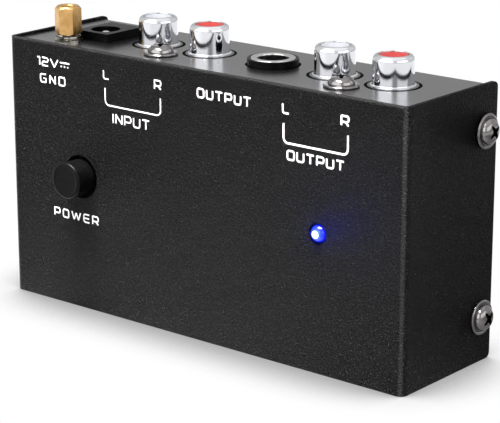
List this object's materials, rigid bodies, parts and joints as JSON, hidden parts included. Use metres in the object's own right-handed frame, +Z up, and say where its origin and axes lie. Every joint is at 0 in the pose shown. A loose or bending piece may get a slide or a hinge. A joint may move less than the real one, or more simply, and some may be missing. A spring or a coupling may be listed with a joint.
{
  "type": "phono preamp",
  "caption": "Small black phono preamp box with chrome phono sockets, a 6.35 mm jack, a power inlet and a ground post on one long edge, a push button and a lamp on its face.",
  "frame": {"origin": "centre of the whole part's box in X and Y, at the lower edge of the front cover in Z", "axes": "+X runs along the width with the power button on the -X side, +Y runs from the labelled face to the rear plate with its feet, +Z is up, towards the jack panel"},
  "size_m": [0.1092, 0.036, 0.0641],
  "materials": {
    "cover_coat": "fine textured black powder coat",
    "chassis_coat": "satin black coat",
    "nickel_screws": "nickel plated",
    "foot_rubber": "matte",
    "board_laminate": "green solder mask on glass laminate",
    "spacer_brass": "turned",
    "black_moulding": "moulded",
    "shell_chrome": "bright chrome plate",
    "white_moulding": "moulded, glossy",
    "red_moulding": "moulded, glossy",
    "contact_bronze": "bare spring bronze",
    "bush_nickel": "nickel plated",
    "inlet_moulding": "moulded, glossy",
    "pin_nickel": "nickel plated",
    "leaf_nickel": "rolled strip",
    "zinc_steel": "zinc plated",
    "tinned_brass": "tinned",
    "nut_brass": "turned and tumbled",
    "button_black": "satin",
    "plunger_acetal": "natural acetal",
    "switch_laminate": "phenolic board",
    "spring_steel": "music wire",
    "lamp_blue": "clear blue epoxy",
    "tinned_wire": "tinned",
    "chip_epoxy": "moulded epoxy",
    "film_case": "dipped",
    "can_sleeve": "shrink sleeve",
    "resistor_coat": "lacquered"
  },
  "bodies": {
    "case": {"front_cover": "cover_coat", "chassis": "chassis_coat", "cover_screws": "nickel_screws", "rubber_feet": "foot_rubber", "circuit_board": "board_laminate", "board_spacers": "spacer_brass", "board_screws": "nickel_screws", "input_jack_block": "black_moulding", "output_jack_block": "black_moulding", "panel_screws": "nickel_screws", "input_left_shell": "shell_chrome", "input_right_shell": "shell_chrome", "output_left_shell": "shell_chrome", "output_right_shell": "shell_chrome", "input_left_insulator": "white_moulding", "input_right_insulator": "red_moulding", "output_left_insulator": "white_moulding", "output_right_insulator": "red_moulding", "input_left_contact": "contact_bronze", "input_right_contact": "contact_bronze", "output_left_contact": "contact_bronze", "output_right_contact": "contact_bronze", "phone_jack_body": "black_moulding", "phone_jack_bush": "bush_nickel", "phone_jack_leaves": "contact_bronze", "power_inlet_body": "inlet_moulding", "power_inlet_pin": "pin_nickel", "power_inlet_leaf": "leaf_nickel", "ground_stud": "zinc_steel", "ground_tag": "tinned_brass", "ground_plain_washer": "zinc_steel", "switch_housing": "black_moulding", "switch_base": "switch_laminate", "switch_spring": "spring_steel", "switch_terminals": "tinned_brass", "lamp_lens": "lamp_blue", "lamp_leads": "tinned_wire", "amplifier_chips": "chip_epoxy", "voltage_regulator": "chip_epoxy", "rectifier_diode": "chip_epoxy", "film_capacitors": "film_case", "small_electrolytics": "can_sleeve", "large_electrolytics": "can_sleeve", "resistors": "resistor_coat", "component_leads": "tinned_wire"},
    "push_button": {"power_button": "button_black", "switch_plunger": "plunger_acetal"},
    "washer": {"ground_lock_washer": "zinc_steel"},
    "nut": {"ground_nut": "nut_brass"}
  },
  "joints": [
    {"name": "power_button_press", "type": "slide", "parent": "case", "child": "push_button", "axis": [0, 1, 0], "range_m": [0, 0.0026], "stiffness_N_per_m": 400, "springref_m": -0.0005, "deforming": ["switch_spring"]},
    {"name": "ground_nut_lift", "type": "slide", "parent": "case", "child": "washer", "axis": [0, 0, 1], "range_m": [0, 0.002]},
    {"name": "ground_nut_turn", "type": "hinge", "parent": "washer", "child": "nut", "pos_m": [-0.0404, -0.0074, 0.0581], "axis": [0, 0, 1], "range_deg": [0, 1440]}
  ],
  "couplings": [
    {"joint": "ground_nut_turn", "follows": "ground_nut_lift", "rad_per_m": 12566}
  ]
}
